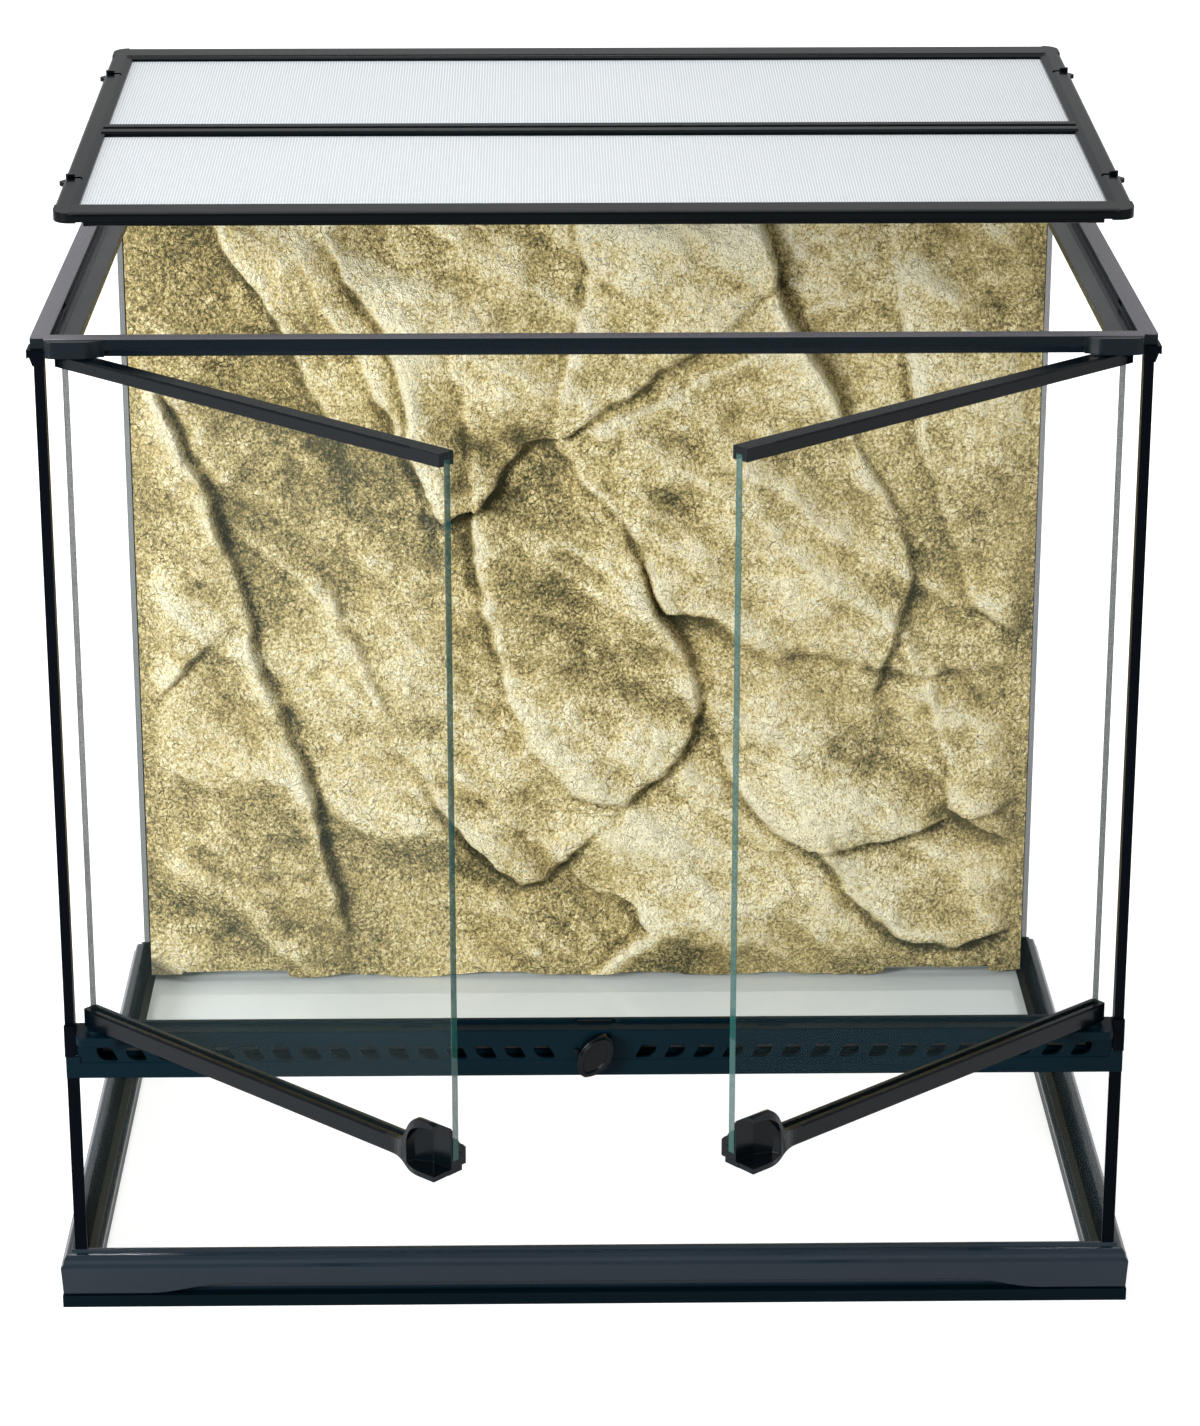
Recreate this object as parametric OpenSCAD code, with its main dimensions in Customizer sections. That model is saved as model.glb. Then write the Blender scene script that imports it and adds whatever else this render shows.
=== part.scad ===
// Reptile terrarium: a glass tank in a black plastic frame, with two front doors, a lift-off
// screen lid, a vent strip with a turning lock, and a moulded rock background.
// Origin: middle of the base's underside. X to the right, Y to the back, Z up. Millimetres.

/* [Tank] */
// Width over the side panes
tank_w = 596; // [500:1:900]
// Depth over the front and rear panes
tank_d = 450; // [400:1:600]
// Height of the rim's top face above the table
tank_h = 571; // [480:1:800]
// Thickness of every pane
glass_t = 4; // [3:0.5:5]
// Thickness of the floor pane
floor_t = 5; // [4:0.5:6]
// Bead of black sealant in the tank's corners
seam_leg = 4; // [3:0.5:6]

/* [Base] */
// Height of the foot frame
foot_h = 8; // [6:0.5:14]
// How far the foot frame stands out from the glass
foot_out = 7.6; // [6:0.2:9]
// Height of the plinth's top lip above the foot frame
plinth_h = 26; // [22:0.5:40]
// How far the plinth's crease stands out from the glass
plinth_out = 8; // [7:0.2:12]
// Width of the ledge that carries the floor pane
floor_ledge = 10; // [6:0.5:16]
// Thickness of that ledge
ledge_t = 2; // [1.5:0.5:4]
// Rise of the shallow arch in the plinth's front and back
arch_rise = 6; // [3:0.5:8]
// Width of the arch between its ramps
arch_w = 422; // [300:2:430]
// Length of each ramp of the arch
arch_ramp = 45; // [20:1:50]
// Shadow gap between the foot frame and the plinth
foot_gap = 0.8; // [0.4:0.1:1.5]

/* [Vent strip] */
// Height of the strip's underside above the table
strip_z = 142; // [120:1:180]
// Height of the strip
strip_h = 27.4; // [26:0.2:40]
// How far the strip stands out from the front glass
strip_out = 3; // [2:0.5:5]
// Wall of the strip
strip_wall = 2.5; // [2:0.1:3.5]
// Distance from the strip's front face to the door stop
strip_ledge = 12; // [11.5:0.1:16]
// Thickness of the door stop ridge
stop_t = 3; // [2:0.5:5]
// Height of the door stop ridge
stop_h = 1.6; // [0.8:0.1:1.7]
// Slots on each side of the lock
slot_count = 16; // [8:1:17]
// Distance from slot to slot
slot_pitch = 16.4; // [15:0.1:16.4]
// Width of one slot
slot_w = 12; // [9:0.5:13]
// Height of one slot
slot_h = 8; // [6:0.2:10]
// Sideways lean of a slot
slot_lean = 4; // [2:0.5:6]

/* [Rim] */
// Height of the rim
rim_h = 9.5; // [9:0.1:16]
// How far the rim stands out from the side and rear glass
rim_out = 1.5; // [1:0.1:3]
// How far the rim's front bar stands out from the front glass
rim_front_out = 6; // [4:0.5:9]
// Width of the flange round the lid, at the sides
flange_w = 10; // [10:0.5:14]
// Width of the flange at the front
flange_front = 11; // [9:0.5:14]
// Width of the seat that carries the lid
seat_w = 14; // [12:0.5:18]
// Depth of the lid's pocket
pocket_h = 5; // [4.5:0.1:5.5]

/* [Lid] */
// Room at each side between the lid and its pocket
lid_side_gap = 3.5; // [2:0.1:4.5]
// Room between the lid and the front of its pocket
lid_front_gap = 1; // [0.5:0.1:2]
// Room between the lid and the rear of its pocket
lid_rear_gap = 3; // [2.5:0.1:5]
// Length of the lid from front to rear
lid_l = 365; // [300:1:366]
// Thickness of the lid's frame
lid_t = 5.5; // [5.2:0.1:8]
// Width of the lid's side bars
lid_side_w = 12.5; // [12:0.5:20]
// Width of the lid's front and rear bars
lid_end_w = 21.6; // [18:0.2:30]
// Width of the cross bar
cross_w = 19; // [12:0.5:24]
// How far the cross bar's middle lies from the lid's front edge
cross_at = 177; // [150:1:200]
// Thickness of the screen
screen_t = 0.8; // [0.5:0.1:1.2]
// Radius of the lid's corners
lid_corner = 9; // [4:0.5:10]
// Radius of the round tongue under the lid's front edge
tongue_r = 2.2; // [1.6:0.1:2.6]
// How far the lid is lifted off its seat, as it is drawn
lid_lift = 65; // [10:1:120]
// How far the lid's rear is tipped up, as it is drawn
lid_tilt = 3; // [0:0.5:8]
// Length of a lid clip
clip_l = 10; // [9:0.5:10]
// Width of a lid clip
clip_w = 9; // [6:0.5:10]
// How far a clip stands out from the lid's side, as it is drawn
clip_out = 3; // [0:0.5:3.2]
// How far a clip slides out from there to hold the lid
clip_travel = 5; // [2:0.5:5]
// Distance from the lid's front edge to the front clips
clip_front_at = 71; // [40:1:120]
// Distance from the lid's rear edge to the rear clips
clip_rear_at = 63; // [40:1:120]

/* [Doors] */
// Distance from the tank's middle to a door's hinge line
hinge_x = 280; // [230:1:281]
// Distance from the front glass back to the hinge line
hinge_y = 1; // [0:0.5:1.5]
// Gap between the closed doors' glass
door_gap = 3; // [2:0.5:6]
// How far a door's bars run past its hinge line
door_tail = 8; // [7:0.5:8]
// Height of the bottom bar
bar_bottom_h = 10; // [8:0.5:14]
// Height of the top bar
bar_top_h = 6.9; // [6:0.1:10]
// How far a bar stands out in front of the door glass
bar_front = 3.5; // [2.5:0.1:3.5]
// How far a bar stands out behind the door glass
bar_back = 2.5; // [2:0.1:2.5]
// How deep the glass sits in a bar
glass_grip = 3; // [2:0.5:4]
// Diameter of the hinge pins
pin_d = 5; // [4:0.1:6]
// How far a hinge pin reaches into its bar, and into its socket
pin_reach = 5.5; // [4:0.1:6]
// Opening angle of the left door, as it is drawn
left_open = 43; // [0:1:95]
// Opening angle of the right door, as it is drawn
right_open = 41; // [0:1:95]
// Length of the handle along the door
handle_l = 42; // [36:1:60]
// How far the handle stands out from the door glass
handle_out = 14.4; // [10:0.2:20]
// Height of the handle above the bottom bar's underside
handle_h = 33; // [24:0.5:45]

/* [Lock] */
// Length of the oval knob
knob_l = 29.6; // [22:0.2:34]
// Width of the oval knob
knob_w = 17.6; // [12:0.2:20]
// How far the knob stands out from the strip
knob_t = 8; // [5:0.5:12]
// Lean of the knob to the right, as it is drawn
knob_lean = 33; // [0:1:60]
// Diameter of the lock's spindle
spindle_d = 6; // [5:0.1:7]
// Distance from the spindle to the pin that lifts the bolt
crank_r = 5.4; // [4:0.1:5.6]
// Turn of the knob from open to locked
lock_turn = 50; // [35:1:50]
// Width of the bolt
bolt_w = 19; // [14:0.5:20]
// Thickness of the bolt
bolt_t = 1.4; // [1:0.1:1.6]

/* [Cable inlets] */
// Distances of the four inlets from the tank's middle
inlet_x = [-215, -110, 110, 215];
// Width of an inlet's hole
inlet_w = 34; // [20:1:38]
// Depth of an inlet's hole, front to rear
inlet_d = 20; // [12:1:24]
// Length of an inlet's cover
cover_w = 42; // [40:1:46]
// Thickness of an inlet's cover
cover_t = 2; // [1.5:0.1:2.5]

/* [Rock background] */
// Thickness of the foam panel at its edges
rock_edge = 14; // [8:1:24]
// Depth of the deepest relief in front of that
rock_relief = 34; // [15:1:45]
// Gap between the panel and the side glass
rock_side_gap = 2; // [0.5:0.5:4]
// Gap between the panel and the rim
rock_top_gap = 4; // [2:0.5:10]
// Distance of each notch in the panel's foot from the middle
rock_notch_at = 235.5; // [120:0.5:240]
// Width of each notch
rock_notch_w = 71; // [40:1:90]
// Height of each notch
rock_notch_h = 7; // [4:0.5:12]

/* [Fits] */
// Free space between a sliding or turning piece and its seat
slide_gap = 0.3; // [0.2:0.05:0.5]
// Radial clearance of a pin in its socket
pin_fit = 0.05; // [0.02:0.01:0.1]
// Radial clearance of a pin in the bar that holds it
pin_hold = 0.02; // [0.01:0.01:0.05]

/* [Hidden] */
$fn = 48;

black = [0.08, 0.11, 0.13];
satin = [0.12, 0.15, 0.18];
clear = [0.78, 0.88, 0.86];
stone = [0.80, 0.72, 0.48];
pale = [0.90, 0.92, 0.94];

// Tank
half_w = tank_w / 2;
front = -tank_d / 2;
rear = tank_d / 2;
floor_bottom = foot_h + ledge_t;
floor_top = floor_bottom + floor_t;
plinth_z = foot_h + plinth_h;
rim_z = tank_h - rim_h;
rim_roof = 3;                      // plastic left over the panes' top edges
pane_top = tank_h - rim_roof;
inner_w = half_w - glass_t;

// Rim and lid
pocket_x = half_w + rim_out - flange_w;
hole_x = pocket_x - seat_w;
pocket_front = front - rim_front_out + flange_front;
lid_front = pocket_front + lid_front_gap;
lid_rear = lid_front + lid_l;
pocket_rear = lid_rear + lid_rear_gap;
seat_z = tank_h - pocket_h;
lid_half = pocket_x - lid_side_gap;
tongue_y = lid_front + tongue_r + 0.8;
tongue_half = hole_x - 6;
bead_gap = slide_gap / 2;

// Strip
strip_top = strip_z + strip_h;
strip_face = front - strip_out;
stop_y = strip_face + strip_ledge;
strip_rear = stop_y + stop_t;
front_glass_top = strip_z + 6.3;
slot_z = strip_z + 14.2;
step_z = strip_z + 9.6;
slot_first = 28.5;                 // middle of the slot nearest the lock

// Doors
pivot_y = front + hinge_y;
boss_h = 1.5;
bar_z = strip_top + boss_h + slide_gap + 0.2;
door_top = rim_z - slide_gap - 0.3;
door_l = hinge_x - door_gap / 2;
bar_w = bar_front + glass_t + bar_back;
bar_mid = bar_front - bar_w / 2;
hinge_r = 11;
top_reach = bar_top_h - glass_grip - 0.5;   // the upper pin's bore ends under the glass

// Lock
lock_z = strip_z + strip_h / 2;
bolt_y = stop_y - 0.1 - bolt_t;
bolt_rise = 2 * crank_r * sin(lock_turn / 2);
bolt_low = strip_top + 1.4;
catch_grip = bolt_t + 0.6;
crank_pin = 2.4;                   // diameter of the crank's pin

function ease(t) = (1 - cos(180 * t)) / 2;

// ---------------------------------------------------------------- shared shapes

// Rectangle with round corners, middle at the origin
module round_rect(w, d, r) {
    square([w - 2 * r, d], center = true);
    square([w, d - 2 * r], center = true);
    for (x = [-1, 1], y = [-1, 1])
        translate([x * (w / 2 - r), y * (d / 2 - r)]) circle(r);
}

// A section drawn as (out from the glass, up), run straight along X for a length
module along_x(length) {
    rotate([90, 0, 90]) linear_extrude(length, center = true) mirror([1, 0]) children();
}

// A section drawn as (out, up), carried round a rectangle with mitred corners
module carried_round(w, d, reach_in, reach_out, z_low, z_high) {
    for (side = [0:3]) {
        run = side % 2 == 0 ? w : d;
        away = side % 2 == 0 ? d / 2 : w / 2;
        rotate([0, 0, 90 * side]) translate([0, -away, 0]) intersection() {
            along_x(run + 2 * reach_out) children();
            translate([0, 0, z_low]) linear_extrude(z_high - z_low) polygon([
                [-run / 2 - reach_out, -reach_out], [run / 2 + reach_out, -reach_out],
                [run / 2 - reach_in, reach_in], [-run / 2 + reach_in, reach_in]
            ]);
        }
    }
}

// A box from its low corner to its high corner
module block(low, high) {
    translate(low) cube(high - low);
}

// ---------------------------------------------------------------- base

module foot_frame() color(black)
    carried_round(tank_w, tank_d, floor_ledge, foot_out, -1, foot_h + 1)
        polygon([
            [-floor_ledge, 0], [foot_out, 0], [foot_out, foot_h - foot_gap],
            [2, foot_h - foot_gap], [2, foot_h], [-floor_ledge, foot_h]
        ]);

// Outline of the plinth's wall: a lip on the glass, a rounded shoulder that falls to the
// crease, and a face that leans in below it
function plinth_outline() = let (
    crease = plinth_z - 9,
    shoulder = [for (i = [0:6]) let (a = 90 - 15 * i)
        [2.4 + (plinth_out - 4) * cos(a), plinth_z - 6 + 4 * sin(a)]]
) concat(
    [[-floor_ledge, foot_h], [-floor_ledge, floor_bottom], [0, floor_bottom],
     [0, plinth_z], [1.9, plinth_z]],
    shoulder,
    [[plinth_out - 1.4, crease + 1.6], [plinth_out, crease], [plinth_out - 0.9, foot_h + 0.4],
     [plinth_out - 3.2, foot_h + 0.4], [plinth_out - 3.2, crease - 2], [2.2, crease - 2],
     [2.2, foot_h]]);

// The arch: a wide flat opening with an easy ramp at each end
module arch_outline() {
    ramp = [for (i = [0:10]) [-arch_w / 2 - arch_ramp * (1 - i / 10), arch_rise * ease(i / 10)]];
    other = [for (i = [10:-1:0]) [arch_w / 2 + arch_ramp * (1 - i / 10), arch_rise * ease(i / 10)]];
    polygon(concat([[-arch_w / 2 - arch_ramp, -2]], ramp, other, [[arch_w / 2 + arch_ramp, -2]]));
}

module base_plinth() color(satin) difference() {
    carried_round(tank_w, tank_d, floor_ledge, plinth_out, foot_h, plinth_z)
        polygon(plinth_outline());
    for (y = [front - plinth_out / 2 - 1.5, rear + plinth_out / 2 + 1.5])
        translate([0, y, foot_h + 0.4]) rotate([90, 0, 0])
            linear_extrude(plinth_out - 3, center = true) arch_outline();
}

// ---------------------------------------------------------------- glass box

module floor_glass() color(clear)
    block([-inner_w, front + glass_t, floor_bottom], [inner_w, rear - glass_t, floor_top]);

module side_glass() block([inner_w, front, floor_bottom], [half_w, rear, pane_top]);

module left_glass() color(clear) mirror([1, 0, 0]) side_glass();

module right_glass() color(clear) side_glass();

module rear_glass() color(clear)
    block([-inner_w, rear - glass_t, floor_bottom], [inner_w, rear, pane_top]);

module front_glass() color(clear)
    block([-inner_w, front, floor_bottom], [inner_w, front + glass_t, front_glass_top]);

// Strips that cover the front edges of the side panes
module post_trim() {
    block([half_w - 5.4, front - 1.2, strip_top], [half_w, front, rim_z - 0.3]);
    block([half_w - glass_t - 1.4, front - 1.2, strip_top],
          [half_w - glass_t, front + 7, rim_z - 0.3]);
}

module lower_trim() block([half_w - 7, front - 1.2, plinth_z], [half_w, front, strip_z]);

module right_post_trim() color(black) post_trim();

module left_post_trim() color(black) mirror([1, 0, 0]) post_trim();

module right_lower_trim() color(black) lower_trim();

module left_lower_trim() color(black) mirror([1, 0, 0]) lower_trim();

// Three-cornered beads of sealant: along the front and both sides of the floor, in one run
module floor_seams() color(black) translate([0, 0, floor_top]) {
    bead_d = tank_d - 2 * glass_t;
    difference() {
        carried_round(2 * inner_w, bead_d, seam_leg, 0, -1, seam_leg + 1)
            polygon([[0, 0], [0, seam_leg], [-seam_leg, 0]]);
        // the rock panel takes the place of the run along the rear
        translate([0, bead_d / 2, 0]) cube([2 * tank_w, 2 * seam_leg + 1, 50], center = true);
    }
}

module rear_seams() color(black) for (s = [-1, 1]) {
    bead = rock_side_gap - slide_gap;
    translate([s * inner_w, rear - glass_t, floor_top + seam_leg])
        linear_extrude(rim_z - floor_top - seam_leg - slide_gap)
            polygon([[0, 0], [-s * bead, 0], [0, -bead]]);
}

// ---------------------------------------------------------------- vent strip

// A slot: flat top and foot, leaning sides, with the corner under the lean swept round
module slot_outline() {
    sweep = [for (i = [0:8]) let (a = 180 + 90 * i / 8)
        [slot_w * (0.12 + 0.62 * cos(a)), slot_h * (0.22 + 0.72 * sin(a))]];
    polygon(concat(
        [[slot_w / 2 - slot_lean, slot_h / 2], [-slot_w / 2 + 0.8, slot_h / 2],
         [-slot_w / 2, slot_h / 2 - 0.8]],
        sweep,
        [[slot_w / 2 - 0.8, -slot_h / 2], [slot_w / 2, -slot_h / 2 + 0.8]]));
}

// Box channel in section: slotted face, ledge, door stop, rear wall and floor
module strip_section() {
    depth = strip_rear - strip_face;
    difference() {
        polygon([
            [0, strip_z], [0, step_z - 0.6], [-0.6, step_z], [-0.6, strip_top - 0.8],
            [-1.2, strip_top], [-strip_ledge, strip_top], [-strip_ledge, strip_top + stop_h],
            [-depth, strip_top + stop_h], [-depth, front_glass_top], [-strip_out - glass_t, front_glass_top],
            [-strip_out, front_glass_top], [-strip_out, strip_z]
        ]);
        translate([-depth + 2, front_glass_top + 2])
            square([depth - 2 - strip_wall - 0.6, strip_top - strip_wall - front_glass_top - 2]);
    }
}

// The strip and the rim swell out round the hinges, and draw in again with an easy curve
module hinge_bulge(face, z_low, z_high) {
    nose = pivot_y - hinge_r;
    corner = 5;
    translate([0, 0, z_low]) linear_extrude(z_high - z_low) polygon(concat(
        [for (i = [0:10]) [hinge_x - 20 + i, face + (nose - face) * ease(i / 10)]],
        [for (i = [0:6]) let (a = -90 + 15 * i)
            [half_w - 6.2 - corner + corner * cos(a), nose + corner + corner * sin(a)]],
        [[half_w - 6.2, face + 4], [hinge_x - 20, face + 4]]));
}

module vent_strip() color(satin) difference() {
    union() {
        translate([0, strip_face, 0]) along_x(2 * half_w - 12.4) strip_section();
        for (s = [0, 1]) mirror([s, 0, 0]) {
            hinge_bulge(strip_face, strip_top - 5, strip_top);
            block([half_w - 8, strip_face, strip_z], [half_w, front - 1.4, strip_z + 13]);
            translate([hinge_x, pivot_y, strip_top - 1]) cylinder(r = 6, h = 1 + boss_h);
        }
    }
    // the ridge stops short of the hinges, so that the doors' tails clear it
    for (s = [-1, 1])
        translate([s * (hinge_x + 4), stop_y, strip_top + 5])
            cube([40, 3 * stop_t, 10], center = true);
    // sockets for the lower hinge pins
    for (s = [-1, 1])
        translate([s * hinge_x, pivot_y, strip_top + boss_h - pin_reach])
            cylinder(r = pin_d / 2 + pin_fit, h = 20);
    // vent slots, leaning away from the lock on each side
    for (s = [0, 1]) mirror([s, 0, 0]) for (i = [0:slot_count - 1])
        translate([slot_first + i * slot_pitch, strip_face + 1, slot_z])
            rotate([90, 0, 0]) mirror([1, 0, 0])
                linear_extrude(2 * strip_wall + 4, center = true) slot_outline();
    // windows in the rear wall, behind the slots
    for (s = [-1, 1])
        translate([s * (slot_first + slot_count * slot_pitch / 2 - slot_pitch / 2), strip_rear, slot_z])
            cube([slot_count * slot_pitch - 8, 6, slot_h], center = true);
    // bore for the lock's spindle, and the way out for the bolt
    translate([0, strip_face, lock_z]) rotate([90, 0, 0])
        cylinder(r = spindle_d / 2 + pin_fit, h = 20, center = true);
    translate([0, bolt_y + bolt_t / 2, strip_top])
        cube([bolt_w + 1, bolt_t + 0.4, 12], center = true);
    // a shallow bay in the ridge's front, with slanted ends, where the bolt comes up
    translate([0, 0, strip_top]) linear_extrude(10) polygon([
        [-bolt_w / 2 - 4, stop_y - 0.1], [bolt_w / 2 + 4, stop_y - 0.1],
        [bolt_w / 2 + 1, stop_y + stop_t / 2], [-bolt_w / 2 - 1, stop_y + stop_t / 2]
    ]);
    // shallow oval dimples in the ledge
    for (s = [-1, 1]) translate([s * 100, strip_face + strip_ledge / 2, strip_top - 0.6])
        linear_extrude(2) round_rect(17, 4, 1.9);
    // hole for the stop pin
    translate([-10.8, strip_face, lock_z + 1.5]) rotate([90, 0, 0])
        cylinder(d = 2, h = 5, center = true);
}

// Fine screen behind the windows in the strip's rear wall
module vent_screen() color(pale) for (s = [-1, 1])
    translate([s * (slot_first + slot_count * slot_pitch / 2 - slot_pitch / 2),
               strip_rear + 0.25, slot_z])
        cube([slot_count * slot_pitch, 0.5, slot_h + 5], center = true);

// End pieces: a black face beside the hinge, and a plug that closes the strip's channel
module strip_cap() {
    low = strip_z + 13.2;
    block([half_w - 6, strip_face - 0.4, low], [half_w + 0.4, front - 1.3, strip_top + 4.6]);
    block([half_w - 6, front - 1.4, low], [inner_w - 0.2, strip_rear, strip_top]);
}

module right_strip_cap() color(black) strip_cap();

module left_strip_cap() color(black) mirror([1, 0, 0]) strip_cap();

// ---------------------------------------------------------------- rim

module pane_channels() {
    for (s = [-1, 1]) translate([s * (half_w - glass_t / 2), 0, rim_z - 1])
        linear_extrude(pane_top - rim_z + 1) square([glass_t + 0.4, tank_d + 0.4], center = true);
    translate([0, rear - glass_t / 2, rim_z - 1])
        linear_extrude(pane_top - rim_z + 1) square([tank_w, glass_t + 0.4], center = true);
}

// An inlet: a hole, and a shallow bed twice as long for its sliding cover
module inlet_cut() {
    translate([0, 0, rim_z - 1]) linear_extrude(rim_h + 2) round_rect(inlet_w, inlet_d, 6);
    translate([cover_w / 2 - 2, 0, tank_h - cover_t])
        linear_extrude(cover_t + 1) round_rect(2 * cover_w - 2, inlet_d + 6 + 2 * slide_gap, 3);
}

inlet_y = (pocket_rear + rear - glass_t) / 2;

module top_rim() color(satin) difference() {
    union() {
        // sides, rear bar, seat and the flat part of the front bar
        block([-half_w - rim_out, front + 2, rim_z], [half_w + rim_out, rear + rim_out, tank_h]);
        // front bar, thin at the lip, with a step under its upper band
        translate([0, front - rim_front_out, 0]) along_x(2 * (half_w - 6))
            polygon([[0, tank_h - 5.8], [-0.4, tank_h - 2.6], [-1.2, tank_h - 0.9], [-2.6, tank_h],
                     [-10, tank_h], [-10, rim_z], [-2, rim_z], [-2, tank_h - 6.4]]);
        for (s = [0, 1]) mirror([s, 0, 0]) {
            hinge_bulge(front - rim_front_out, rim_z, tank_h - 0.6);
            block([half_w - 6, front - 1.5, rim_z + 3], [half_w + rim_out, front + 3, tank_h]);
        }
    }
    // pocket for the lid, and the way through it
    block([-pocket_x, pocket_front, seat_z], [pocket_x, pocket_rear, tank_h + 5]);
    block([-hole_x, pocket_front + seat_w, rim_z - 1],
          [hole_x, pocket_rear - seat_w, tank_h + 5]);
    // darker groove beside the seat
    for (s = [-1, 1]) block([s > 0 ? pocket_x - 4.5 : -pocket_x, pocket_front, seat_z - 0.5],
        [s > 0 ? pocket_x : -pocket_x + 4.5, pocket_rear, tank_h]);
    // the seat is a little lower in front of the tongue, where the lid's edge dips as it tips
    block([-pocket_x, pocket_front, seat_z - 0.5], [pocket_x, tongue_y + 0.6, tank_h]);
    // channel for the lid's round tongue
    translate([0, tongue_y, seat_z]) rotate([0, 90, 0])
        cylinder(r = tongue_r + slide_gap, h = 2 * tongue_half + 4, center = true);
    // slots for the lid's clips
    for (s = [-1, 1], y = [lid_front + clip_front_at, lid_rear - clip_rear_at])
        translate([s * (pocket_x + 2.5), y, seat_z + 2.4]) cube([7, clip_w + 3, 3.6], center = true);
    // sockets for the upper hinge pins
    for (s = [-1, 1]) translate([s * hinge_x, pivot_y, rim_z - 1])
        cylinder(r = pin_d / 2 + pin_fit, h = 1 + pin_reach);
    pane_channels();
    for (x = inlet_x) translate([x, inlet_y, 0]) inlet_cut();
}

// Caps that close the rim's front corners over the posts
module corner_cap() {
    low = rim_z - 5.6;
    outer = half_w + rim_out + 2;
    difference() {
        translate([0, 0, low]) linear_extrude(8.8)
            polygon([[half_w - 6, front - 3.6], [outer, front - 3.6], [outer, front + 10],
                     [half_w - 6, front + 10]]);
        block([half_w - 7, front - 1.3, low - 1], [half_w + 0.1, front + 12, low + 20]);
        block([half_w - 9, front - 1.6, rim_z - 0.1], [half_w + rim_out + 0.1, front + 12, low + 20]);
        block([half_w - 9, front - 3.7, rim_z - 0.1], [half_w - 5.8, front + 12, low + 20]);
        // the foot of the cap is cut back at a slant
        translate([outer, 0, low]) rotate([0, 20, 0]) cube([6, 2 * tank_d, 8], center = true);
    }
}

module right_corner_cap() color(black) corner_cap();

module left_corner_cap() color(black) mirror([1, 0, 0]) corner_cap();

// One cover, drawn over its hole
module inlet_cover(i) color(black) translate([inlet_x[i], inlet_y, 0]) {
    translate([0, 0, tank_h - cover_t])
        linear_extrude(cover_t) round_rect(cover_w - 2 * slide_gap, inlet_d + 6, 3);
    for (x = [-3, 0, 3]) translate([x, 0, tank_h]) cube([1.2, 12, 1.6], center = true);
}

module inlet_cover_1() inlet_cover(0);
module inlet_cover_2() inlet_cover(1);
module inlet_cover_3() inlet_cover(2);
module inlet_cover_4() inlet_cover(3);

// ---------------------------------------------------------------- rock background

rock_half = inner_w - rock_side_gap;
rock_low = floor_top;
rock_high = rim_z - rock_top_gap;
rock_back = rear - glass_t;
rock_nz = 40;

// The relief is a set of ledges. Each is a line on the panel, in thousandths of its width and
// height from the lower left, walked so that the raised rock lies to its left.
scallop_lip = [[317, 653], [344, 597], [387, 603], [424, 659], [468, 694], [503, 628], [553, 571],
    [576, 510], [596, 472], [659, 461], [716, 420], [779, 417]];
middle_cleft = [[497, 961], [491, 846], [481, 753], [470, 703]];
left_gully = [[88, 961], [112, 903], [165, 843], [195, 775]];
second_gully = [[234, 911], [274, 835], [299, 753], [307, 703], [321, 646]];
right_mass = [[842, 435], [859, 531], [845, 603], [795, 696], [752, 775], [712, 882], [696, 946]];
boulder_rim = [[387, 560], [395, 474], [410, 388], [430, 316], [473, 266], [540, 241], [596, 277],
    [616, 324], [620, 381], [603, 445], [576, 503]];
shelf_shadow = [[639, 324], [712, 205], [752, 173], [819, 191], [882, 205]];
right_lip = [[769, 166], [789, 116], [845, 69], [918, 46], [998, 66]];
wave_lip = [[307, 273], [347, 202], [394, 152], [430, 134], [457, 141], [477, 166]];
foot_lip = [[477, 155], [520, 120], [560, 98], [576, 66], [533, 30]];
left_mass = [[221, 102], [201, 188], [181, 281], [155, 359], [115, 488], [75, 631], [29, 739]];
left_notch = [[2, 356], [29, 388], [65, 427]];
inner_streak = [[311, 263], [281, 324], [254, 395], [214, 488]];
right_gully = [[865, 753], [882, 653], [908, 560], [925, 488], [988, 445]];
far_right = [[892, 402], [908, 309], [918, 230], [998, 180]];
// Each ledge with its height as a part of rock_relief, and the reach of its slope
ledges = [
    [scallop_lip, 0.50, 150], [middle_cleft, 0.16, 60], [left_gully, 0.34, 110],
    [second_gully, 0.30, 90], [right_mass, 0.42, 140], [boulder_rim, 0.44, 120],
    [shelf_shadow, 0.36, 110], [right_lip, 0.40, 70], [wave_lip, 0.40, 110],
    [foot_lip, 0.32, 80], [left_mass, 0.40, 120], [left_notch, 0.24, 60],
    [inner_streak, 0.22, 70], [right_gully, 0.34, 100], [far_right, 0.26, 80]
];
ledge_soft = 15;

// How far a point lies from one stretch of a line, and how far to its left
function from_stretch(p, a, b) = let (
    run = b - a,
    off = p - a - max(0, min(1, ((p - a) * run) / (run * run))) * run
) [norm(off), (run[0] * off[1] - run[1] * off[0]) / norm(run)];

function from_line(p, line, i = 0, best = [10000, 0]) = i >= len(line) - 1 ? best :
    let (next = from_stretch(p, line[i], line[i + 1]))
    from_line(p, line, i + 1, next[0] < best[0] ? next : best);

// A ledge rises across its line and slopes away behind it
function ledge(p, line, high, reach) = let (n = from_line(p, line))
    high * ease(max(0, min(1, 0.5 + n[1] / (2 * ledge_soft)))) * exp(-n[0] / reach);

function sum(v, i = 0) = i >= len(v) ? 0 : v[i] + sum(v, i + 1);

// Slow folds that run from the top left down to the right
function folds(u, v) = 0.10 + 0.09 * sin(900 * u + 380 * v) + 0.05 * sin(1700 * u + 900 * v + 60);

function relief(u, v) = let (p = [1000 * u, 1000 * v])
    folds(u, v) + sum([for (g = ledges) ledge(p, g[0], g[1], g[2])]);

// The relief dies away to the plain edge within the outer hundredth parts of the panel
function edge_fade(t) = ease(max(0, min(1, min(t, 1 - t) / 0.05)));

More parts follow.
